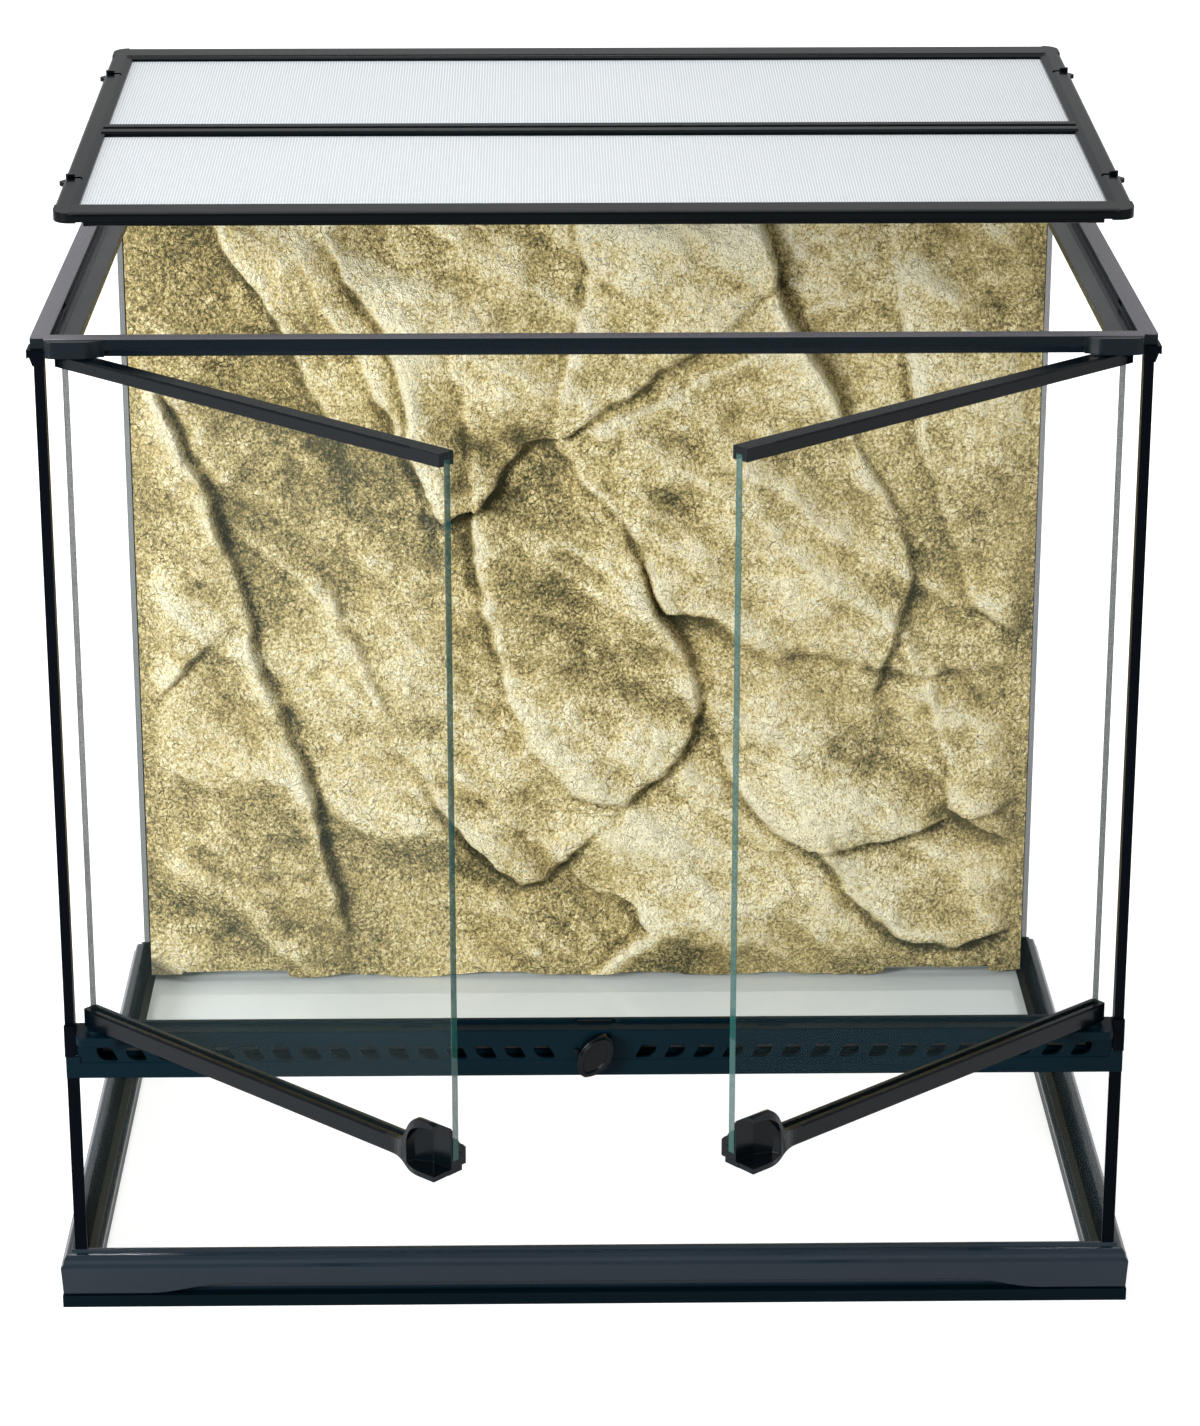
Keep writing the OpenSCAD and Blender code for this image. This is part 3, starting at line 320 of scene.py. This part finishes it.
def pane(name, along, centre, half, height, edge_colour=(0.006, 0.020, 0.020), veil=0.008):
    """Clear pane. `along` is the unit direction of its width in plan, `centre` its middle in plan,
    `half` its half width and `height` its lowest and highest z. The edge mask is 1 where
    abs(dot(p - centre, along)) > half - edge_t or z is within edge_t of either end. The edge
    colour holds for the half that `along` points to, and the other half's edge is dark."""
    f = Finish(name)
    x, y, z = f.axes()
    run = (x - centre[0]) * along[0] + (y - centre[1]) * along[1]
    sides = abs(run) > half - edge_t
    ends = (z > height[1] - edge_t).maximum(z < height[0] + edge_t)
    edge = sides.maximum(ends)
    smear = f.noise(14.0, 2.0)
    cut = f.blend(run > 0, (0.003, 0.010, 0.011), edge_colour)
    return f.finish(
        colour=f.blend(edge, (0.30, 0.42, 0.41), cut),
        alpha=(edge * 0.85 + veil + (smear - 0.5) * 0.006).clamped(),
        rough=0.03 + smear * 0.02,
        specular=0.4,
        ior=1.52,
    )


for name in ("left_glass", "right_glass", "rear_glass", "front_glass"):
    low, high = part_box(name)
    across = 0 if high[0] - low[0] > high[1] - low[1] else 1
    half = (high[across] - low[across]) / 2
    middle = ((low[0] + high[0]) / 2, (low[1] + high[1]) / 2)
    dress([name], pane(name + "_clear", (1 - across, across), middle, half, (low[2], high[2])))
for side, sign, angle in (("left", 1, left_open), ("right", -1, right_open)):
    low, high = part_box(f"{side}_door_glass")
    along = (sign * math.cos(angle), -math.sin(angle))
    reach = (door_reach - door_tail) / 2
    middle = (-sign * hinge_x + along[0] * reach, hinge_y + along[1] * reach)
    dress([f"{side}_door_glass"],
          pane(f"{side}_door_clear", along, middle, door_reach - reach, (low[2], high[2]),
               (0.012, 0.065, 0.058), 0.012))

# %% [markdown]
# The floor pane is seen from above against a white table. It is clear in front, so the dark ledge it
# rests on shows through at its sides. Towards the rock the photographed pane reads as a milky
# sheet, so the alpha climbs along Y to a veil there.

# %% Floor pane
veil_start = 75 * MM       # where the veil sets in
veil_climb = 14            # alpha's climb for each metre, before it is held and scaled
veil_top = 0.62
f = Finish("floor_clear")
x, y, z = f.axes()
streaks = f.noise(6.0, 3.0, 0.5)
f.finish(
    colour=f.blend(streaks, (0.78, 0.88, 0.90), (0.88, 0.94, 0.96)),
    alpha=(0.03 + (streaks - 0.5) * 0.02
           + ((y - veil_start) * veil_climb).clamped() * veil_top).clamped(),
    rough=0.04 + streaks * 0.03,
    specular=0.4,
)
dress(["floor_glass"], f.material)

# %% [markdown]
# ## The screens
#
# The lid holds two panels of fine wire cloth. Wires a third of a millimetre thick would take
# millions of faces, so the weave is a pattern: two sets of waves, one along X and one along the
# lid's length, whose higher one is on top at each point. Their height drives the bump, and the
# gaps between them are darker, as painted shade between the wires.


# %% Wire cloth
def wire_cloth(name, pitch, pale, shade_between_wires, alpha):
    """Plain weave of the given pitch: wire height = max(sin(kx), sin(ky)) with k = 2 pi / pitch."""
    f = Finish(name)
    x, y, z = f.axes()
    k = 2 * math.pi / pitch
    warp = (x * k).sine() * 0.5 + 0.5
    weft = (y * k).sine() * 0.5 + 0.5
    wire = warp.maximum(weft)
    drift = f.noise(5.0, 2.0)
    return f.finish(
        # the low parts of the weave take the darker colour: painted shade between the wires
        colour=f.blend(wire * wire, shade_between_wires, f.blend(drift * 0.3, pale, (0.80, 0.83, 0.85))),
        metal=0.35,
        rough=0.42,
        alpha=(wire * 0.25 + alpha).clamped(),
        normal=f.bump(wire, 0.0003, 0.6),
    )


lid_cloth = wire_cloth("wire_cloth", 1.6 * MM, (0.57, 0.60, 0.62), (0.24, 0.26, 0.28), 0.80)
dress(["lid_front_screen", "lid_rear_screen"], lid_cloth)
vent_cloth = wire_cloth("vent_cloth", 1.2 * MM, (0.020, 0.024, 0.028), (0.004, 0.005, 0.006), 0.95)
dress(["vent_screen"], vent_cloth)

# %% [markdown]
# ## The rock background
#
# The rear wall is a moulded foam panel with the face of a weathered cliff. The CAD solid has its
# outline, its thickness and a coarse relief from the same ledges. Here they are drawn on a grid
# fine enough for the small folds between them.
#
# A **ledge** is a line with raised rock to its left. Each one below is named for what it is on the
# panel. Its points are in thousandths of the panel's width and height. After them come its height,
# as a share of the relief, and how far it reaches from the line, in the same thousandths.

# %% Ledge lines
ledges = {
    "scallop_lip": ([(317, 653), (344, 597), (387, 603), (424, 659), (468, 694), (503, 628),
                     (553, 571), (576, 510), (596, 472), (659, 461), (716, 420), (779, 417)],
                    0.50, 150),
    "middle_cleft": ([(497, 961), (491, 846), (481, 753), (470, 703)], 0.16, 60),
    "left_gully": ([(88, 961), (112, 903), (165, 843), (195, 775)], 0.34, 110),
    "second_gully": ([(234, 911), (274, 835), (299, 753), (307, 703), (321, 646)], 0.30, 90),
    "right_mass": ([(842, 435), (859, 531), (845, 603), (795, 696), (752, 775), (712, 882),
                    (696, 946)], 0.42, 140),
    "boulder_rim": ([(387, 560), (395, 474), (410, 388), (430, 316), (473, 266), (540, 241),
                     (596, 277), (616, 324), (620, 381), (603, 445), (576, 503)], 0.44, 120),
    "shelf_shadow": ([(639, 324), (712, 205), (752, 173), (819, 191), (882, 205)], 0.36, 110),
    "right_lip": ([(769, 166), (789, 116), (845, 69), (918, 46), (998, 66)], 0.40, 70),
    "wave_lip": ([(307, 273), (347, 202), (394, 152), (430, 134), (457, 141), (477, 166)],
                 0.40, 110),
    "foot_lip": ([(477, 155), (520, 120), (560, 98), (576, 66), (533, 30)], 0.32, 80),
    "left_mass": ([(221, 102), (201, 188), (181, 281), (155, 359), (115, 488), (75, 631),
                   (29, 739)], 0.40, 120),
    "left_notch": ([(2, 356), (29, 388), (65, 427)], 0.24, 60),
    "inner_streak": ([(311, 263), (281, 324), (254, 395), (214, 488)], 0.22, 70),
    "right_gully": ([(865, 753), (882, 653), (908, 560), (925, 488), (988, 445)], 0.34, 100),
    "far_right": ([(892, 402), (908, 309), (918, 230), (998, 180)], 0.26, 80),
}
print(len(ledges), "ledges")


# %% Fields on a grid
def ease(t):
    """3 t^2 - 2 t^3 with t held between 0 and 1: level at both ends."""
    t = np.clip(t, 0.0, 1.0)
    return t * t * (3 - 2 * t)


def value_noise(x, y, seed):
    """A random number at each whole-numbered corner, eased from corner to corner; 0 to 1."""
    corners = np.random.default_rng(seed).random((256, 256))
    i, j = np.floor(x).astype(int), np.floor(y).astype(int)
    fx, fy = ease(x - i), ease(y - j)
    low = corners[j % 256, i % 256] * (1 - fx) + corners[j % 256, (i + 1) % 256] * fx
    high = (corners[(j + 1) % 256, i % 256] * (1 - fx)
            + corners[(j + 1) % 256, (i + 1) % 256] * fx)
    return low * (1 - fy) + high * fy


def fractal(x, y, octaves, seed, fall=0.5):
    """Sum of value noises, each twice as fine and `fall` times as high as the last; about 0 to 1."""
    total, size = 0.0, 0.0
    for n in range(octaves):
        total = total + value_noise(x * 2**n + 17 * n, y * 2**n + 31 * n, seed + n) * fall**n
        size += fall**n
    return total / size


def from_line(x, y, line):
    """Distance to the nearest stretch of a line, and the signed distance to its left."""
    best = np.full(x.shape, 1e9)
    left = np.zeros(x.shape)
    for (ax, ay), (bx, by) in zip(line[:-1], line[1:]):
        rx, ry = bx - ax, by - ay
        length = math.hypot(rx, ry)
        t = np.clip(((x - ax) * rx + (y - ay) * ry) / length**2, 0, 1)
        ox, oy = x - ax - t * rx, y - ay - t * ry
        far = np.hypot(ox, oy)
        nearer = far < best
        best = np.where(nearer, far, best)
        left = np.where(nearer, (rx * oy - ry * ox) / length, left)
    return best, left


def soften(field, cells):
    """The field blurred: each value is the mean of a window, `cells` either way, taken twice."""
    for _ in range(2):
        for axis in (0, 1):
            pad = [(cells + 1, cells) if a == axis else (0, 0) for a in (0, 1)]
            run = np.cumsum(np.pad(field, pad, mode="edge"), axis=axis)
            ahead = np.take(run, range(2 * cells + 1, run.shape[axis]), axis=axis)
            behind = np.take(run, range(run.shape[axis] - 2 * cells - 1), axis=axis)
            field = (ahead - behind) / (2 * cells + 1)
    return field


# %% [markdown]
# The panel's height is the sum of its ledges, some slow folds that run from the top left down to
# the right, and noise that is stretched the same way. The points are shifted a little by a noise
# before the ledges are measured, so that no ledge runs straight.


# %% Rock panel
panel_t, relief_t = 14 * MM, 34 * MM      # the panel at its thinnest, and the relief on top of it
foot_z, notch_top = 15 * MM, 22 * MM      # the panel's foot, and the roof of its notches
corner_step = 0.5 * MM                    # a notch's side lies between columns this far each way


def rock_panel(columns=296, rows=276):
    """Grid over the panel's front. For u and v from 0 to 1, x = u across the box and z runs from
    the foot line to the top. depth = panel_t + relief_t * clamp(folds + sum of ledges + noise) *
    fade, where a ledge is height * ease(0.5 + left / soft) * exp(-distance / reach), with a narrow
    crack at its foot. fade goes to 0 within 5 % of the sides, and to 0.35 within 5 % of the foot
    and the top. y = back - depth."""
    low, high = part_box("rock_background")
    wide, tall = high[0] - low[0], high[2] - low[2]
    steps = [side * (notch_at + end * notch_half + way * corner_step)
             for side in (-1, 1) for end in (-1, 1) for way in (-1, 1)]
    x = np.sort(np.concatenate([np.linspace(low[0], high[0], columns), steps]))
    u = (x - low[0]) / wide
    waves = np.sin(np.radians(1500 * u)) * np.sin(np.radians(700 * u + 40))
    foot = foot_z + (3 + 2.4 * waves) * MM
    foot += (fractal(u * 70, u * 0 + 3.3, 3, 5) - 0.5) * 2.2 * MM
    foot = np.maximum(foot, foot_z)
    notched = abs(abs(x) - notch_at) < notch_half
    foot = np.where(notched, notch_top, foot)
    v = np.linspace(0, 1, rows)[:, None]
    z = foot + (high[2] - foot) * v
    x, u = np.broadcast_to(x, z.shape), np.broadcast_to(u, z.shape)
    v = (z - low[2]) / tall

    # along the folds and across them
    along = (u - v) * 0.707
    across = (u + 1.25 * v) * 0.62
    px = 1000 * u + 44 * (fractal(u * 8, v * 8, 4, 40, 0.6) - 0.5)
    py = 1000 * v + 44 * (fractal(u * 8, v * 8, 4, 60, 0.6) - 0.5)
    raised = 0.10 + 0.09 * np.sin(np.radians(900 * u + 380 * v))
    raised += 0.05 * np.sin(np.radians(1700 * u + 900 * v + 60))
    soft = 4 + 26 * fractal(u * 9, v * 9, 2, 20) ** 2
    keep = ease(1.5 * fractal(u * 6, v * 6, 2, 30) - 0.25) + 0.35
    for line, height, reach in ledges.values():
        distance, left = from_line(px, py, line)
        raised += keep * height * ease(0.5 + left / soft) * np.exp(-distance / reach)
        raised -= 0.10 * keep * np.exp(-((left + 5) / 5) ** 2) * np.exp(-distance / 14)
    folds = fractal(along * 4, across * 11, 3, 80)
    raised += 0.26 * (1 - 2 * abs(folds - 0.5)) ** 2 - 0.13
    zone = fractal(along * 3, across * 6, 3, 120) - 0.5
    raised += 0.50 * zone
    raised += 0.24 * (fractal(across * 26, along * 14, 4, 160, 0.62) - 0.5)
    raised -= 0.22 * abs(2 * fractal(across * 12, along * 7, 4, 240, 0.6) - 1)
    raised += 0.06 * (fractal(u * 100, v * 95, 2, 200, 0.7) - 0.5)
    edge_u = ease(np.minimum(u, 1 - u) / 0.05)
    edge_v = ease(np.minimum(v, 1 - v) / 0.05)
    relief = relief_t * np.clip(raised, 0, 1) * edge_u * (0.35 + 0.65 * edge_v)
    depth = np.minimum(panel_t + relief, high[1] - low[1])
    front = np.stack([x, high[1] - depth, z], axis=-1)

    # the front, and the sheets that close the panel: foot, top, both sides and the flat back
    back = front.copy()
    back[..., 1] = high[1]
    sheets = [front,
              np.stack([back[0], front[0]]), np.stack([front[-1], back[-1]]),
              np.stack([back[:, 0], front[:, 0]], axis=1),
              np.stack([front[:, -1], back[:, -1]], axis=1),
              np.stack([back[-1], back[0]])]
    # hollows of two widths are darker, partly the panel's dark wash and partly painted shade, with
    # more painted shade where the slow zones are low
    hollow = np.clip(0.5 + (soften(depth, 12) - depth) / (16 * MM), 0, 1)
    hollow = 0.5 * hollow + 0.5 * np.clip(0.5 + (soften(depth, 3) - depth) / (6 * MM), 0, 1)
    hollow = np.clip(hollow - 0.9 * zone, 0, 1)
    # slopes that face up towards the top left are paler: painted light from above
    slope_x = np.gradient(depth, axis=1) / np.gradient(x, axis=1)
    slope_z = np.gradient(depth, axis=0) / np.gradient(z, axis=0)
    upward = np.clip(0.5 + 0.6 * soften(0.45 * slope_x - 0.85 * slope_z, 2), 0, 1)
    return sheets, hollow, upward


def sheets_to_mesh(name, sheets, fields):
    """Each sheet is a grid of points: quads join its neighbours, and sheets share no points. The
    fields are values for the first sheet's points, and the other sheets get their middle value."""
    mesh = bpy.data.meshes.new(name)
    points, faces, start = [], [], 0
    for sheet in sheets:
        r, c = sheet.shape[:2]
        n = np.arange(r * c).reshape(r, c) + start
        faces.append(np.stack([n[:-1, :-1], n[:-1, 1:], n[1:, 1:], n[1:, :-1]], -1).reshape(-1, 4))
        points.append(sheet.reshape(-1, 3))
        start += r * c
    points, faces = np.concatenate(points), np.concatenate(faces)
    mesh.from_pydata(points, [], faces)
    for key, field in fields.items():
        whole = np.full(len(points), 0.5, dtype=np.float32)
        whole[:field.size] = field.ravel()
        mesh.attributes.new(key, "FLOAT", "POINT").data.foreach_set("value", whole)
    mesh.polygons.foreach_set("use_smooth", np.ones(len(faces), dtype=bool))
    mesh.update()
    piece = bpy.data.objects.new(name, mesh)
    bpy.context.collection.objects.link(piece)
    print(name, len(points), "points", 2 * len(faces), "triangles")
    return piece


sheets, hollow, upward = rock_panel()
rock = sheets_to_mesh("rock_face", sheets, {"hollow": hollow, "upward": upward})
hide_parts("rock_background")
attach(rock, "tank")

# %% [markdown]
# The colour follows the form. The hollows are darker and the high parts paler, partly from the wash
# and dry brush of the panel's paint and partly as painted shade, and slopes that face up towards
# the top left are paler still, as painted light from above. Both come from the height field: the
# first is the blurred height less the height, and the second grows with the slope towards the top
# left. Grit of a millimetre or less gives the speckle and the bump.

# %% Rock finish
f = Finish("painted_rock_foam")
x, y, z = f.axes()
shade_and_wash = f.node("ShaderNodeAttribute", {"attribute_name": "hollow"}, out="Fac")
upward = f.node("ShaderNodeAttribute", {"attribute_name": "upward"}, out="Fac")
grit = f.noise(520.0, 3.0, 0.8)
fleck = f.noise(640.0, 2.0, 0.6)
patch = f.noise(14.0, 4.0, 0.65)
blotch = f.noise(80.0, 5.0, 0.75)
crazing = f.node("ShaderNodeTexVoronoi", {"feature": "DISTANCE_TO_EDGE"},
                 {"Vector": f.shifted(0.012, 90.0), "Scale": 170.0})
crack = ((0.07 - crazing) * 14.0).clamped() * ((blotch - 0.42) * 5.0).clamped()
# painted shade in the hollows and painted light on slopes towards the top left, mixed with the
# paint's own wash, grit, blotches and cracks
tone = ((1 - shade_and_wash) * 0.70 + upward * 0.52 + (grit - 0.5) * 1.7 + (blotch - 0.5) * 0.80
        + (patch - 0.5) * 0.30 - crack * 0.30 - 0.06)
paint = f.node("ShaderNodeValToRGB", {"stops": [
    (0.12, (0.060, 0.058, 0.022)), (0.30, (0.25, 0.21, 0.090)), (0.48, (0.56, 0.445, 0.178)),
    (0.62, (0.83, 0.71, 0.37)), (0.80, (1.0, 0.95, 0.68))]}, {0: tone})
ochre = f.blend(((patch - 0.45) * 2.4).clamped() * 0.5, paint, (0.66, 0.50, 0.19))
speckle = ((0.42 - fleck) * 10.0).clamped()
blue_speck = ((f.noise(260.0, 3.0, 0.7) - 0.63) * 12.0).clamped()
colour = f.blend(speckle * 0.55, ochre, (0.10, 0.085, 0.05))
colour = f.blend(blue_speck * 0.6, colour, (0.20, 0.205, 0.23))
# the back is bare foam: off-white, with the outlines of its beads
bead = f.node("ShaderNodeTexVoronoi", {"feature": "DISTANCE_TO_EDGE"}, {"Scale": 260.0,
              "Vector": f.where()})
foam = f.blend((bead * 6.0).clamped(), (0.46, 0.46, 0.43), (0.74, 0.73, 0.69))
colour = f.blend(y > rock_back - 0.4 * MM, colour, foam)
f.finish(
    colour=colour,
    rough=(0.74 + (grit - 0.5) * 0.3).clamped(),
    normal=f.bump(grit + f.noise(170.0, 3.0, 0.6) * 1.6 + blotch * 2.4 - crack * 0.5, 0.0036, 1.0),
    specular=0.25,
)
rock.data.materials.append(f.material)
print("rock painted")

# %% [markdown]
# ## Floor, light and camera
#
# A studio shot on white: the world is white to the camera, less so in reflections, and softer as a
# light source. The key softbox stands low on the left, so that it reaches the rock under the lid.
# A weaker one fills from the right, one hangs above, and a narrow strip light draws the highlights
# along the rounded edges.

# %% World and floor
floor_half, floor_drop = 9.0, 0.2 * MM    # half its width, and how far it lies under the tank
glow_near, glow_far = 0.70, 0.35          # the floor's glow by the tank, and what is added far off


def looking(graph, mirror_share):
    """1 for a ray from the camera or through glass, `mirror_share` for one off a shiny face."""
    ray = graph.outputs("ShaderNodeLightPath")
    return ray["Is Camera Ray"].maximum(ray["Is Glossy Ray"] * mirror_share).maximum(
        ray["Is Transmission Ray"])


world = bpy.data.worlds.new("studio")
bpy.context.scene.world = world
studio = Graph(world)
sky = studio.node("ShaderNodeBackground", None,
                  {"Color": (1, 1, 1, 1), "Strength": looking(studio, 0.35) * 0.55 + 0.45})
studio.outputs("ShaderNodeOutputWorld", {"Surface": sky})

floor_mesh = bpy.data.meshes.new("studio_floor")
corners = [(a * floor_half, b * floor_half, -floor_drop)
           for a, b in ((-1, -1), (1, -1), (1, 1), (-1, 1))]
floor_mesh.from_pydata(corners, [], [(0, 1, 2, 3)])
floor = bpy.data.objects.new("studio_floor", floor_mesh)
bpy.context.collection.objects.link(floor)
f = Finish("studio_floor")
x, y, z = f.axes()
away = (((x * x + y * y) ** 0.5 - 0.45) * 0.9).clamped()
f.finish(
    colour=(0.55, 0.55, 0.555),
    rough=0.9,
    specular=0.1,
    glow=(1, 1, 1),
    glow_strength=looking(f, 0.5) * (away * glow_far + glow_near),
)
floor_mesh.materials.append(f.material)
print("world and floor ready")


# %% Softboxes
def softbox(name, place, aim, size, power):
    """A rectangular area lamp at `place` that faces `aim`; `size` is its width and height."""
    lamp = bpy.data.lights.new(name, "AREA")
    lamp.shape, lamp.energy = "RECTANGLE", power
    lamp.size, lamp.size_y = size
    holder = bpy.data.objects.new(name, lamp)
    holder.location = place
    holder.rotation_euler = (Vector(aim) - Vector(place)).to_track_quat("-Z", "Y").to_euler()
    bpy.context.collection.objects.link(holder)


middle = (0, 0, 0.3)
softbox("key_softbox", (-2.3, -2.1, 1.15), middle, (0.9, 0.9), 150)
softbox("fill_softbox", (1.9, -1.9, 1.0), middle, (1.8, 1.8), 26)
softbox("top_softbox", (0.1, 0.5, 2.4), middle, (1.8, 1.8), 20)
softbox("strip_light", (-0.35, 0.45, 2.3), middle, (1.3, 0.22), 24)

# %% [markdown]
# The camera stands 2.15 m in front of the panes and 1.13 m above the table. The height follows from
# the photograph's vanishing point. The distance is less sure: the two open doors give from about
# 1.96 to 2.23 m. The photograph's uprights are parallel, as a level, shifted lens keeps them. Here
# the lens is tipped down instead and not shifted, so the tank comes out a little shorter and its
# posts lean in slightly.

# %% Camera
film_height = 24                    # millimetres
image_height = 1426                 # pixels
focal_length = 4167                 # in the same pixels
look_down, look_right = 19.67, 0.85     # degrees
lens = bpy.data.cameras.new("camera")
camera = bpy.data.objects.new("camera", lens)
bpy.context.collection.objects.link(camera)
camera.location = (-0.0292, -2.375, 1.1266)
camera.rotation_euler = Euler((math.radians(90 - look_down), 0, math.radians(-look_right)))
lens.sensor_fit = "VERTICAL"
lens.sensor_height = film_height
lens.lens = film_height * focal_length / image_height
lens.clip_end = 60
bpy.context.scene.camera = camera
bpy.context.scene.view_settings.view_transform = "Standard"
# a look through a door, the lower pane and the floor meets six faces of glass, and its shadow
# rays meet more
bpy.context.scene.cycles.transparent_max_bounces = 24
print("camera", round(lens.lens, 1), "mm")
